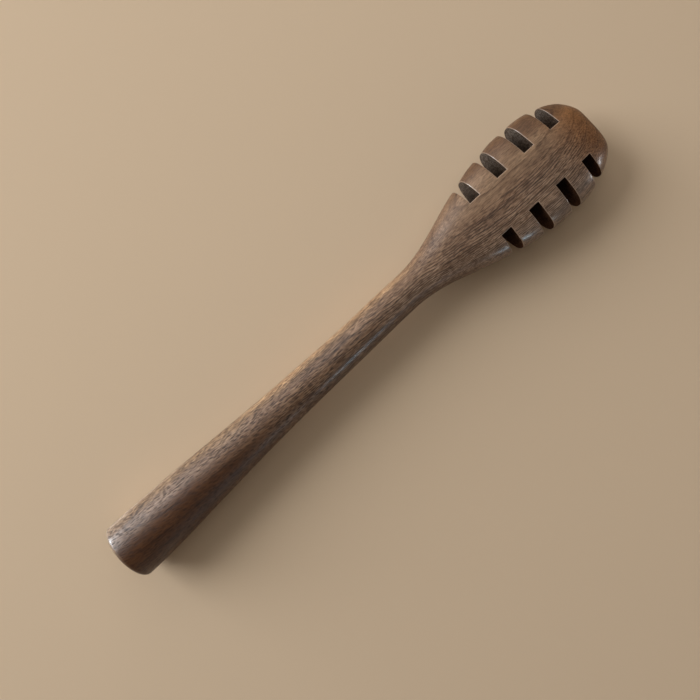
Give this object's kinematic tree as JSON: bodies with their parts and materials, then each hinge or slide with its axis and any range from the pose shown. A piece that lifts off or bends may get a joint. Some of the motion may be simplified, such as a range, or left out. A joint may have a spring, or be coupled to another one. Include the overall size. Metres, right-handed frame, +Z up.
{
  "type": "honey dipper",
  "caption": "Oval wooden honey dipper shaped in one piece, with a tapered handle and a head sawn from both edges into teeth on a central spine.",
  "frame": {"origin": "centre of the footprint of the dipper lying on its side, on the surface it rests on", "axes": "+X along the dipper from the butt of the handle to the tip of the head, +Y across it towards one row of teeth, +Z up"},
  "size_m": [0.165, 0.029, 0.0166],
  "materials": {
    "walnut": "satin"
  },
  "bodies": {
    "root": {"dipper": "walnut"}
  },
  "joints": []
}
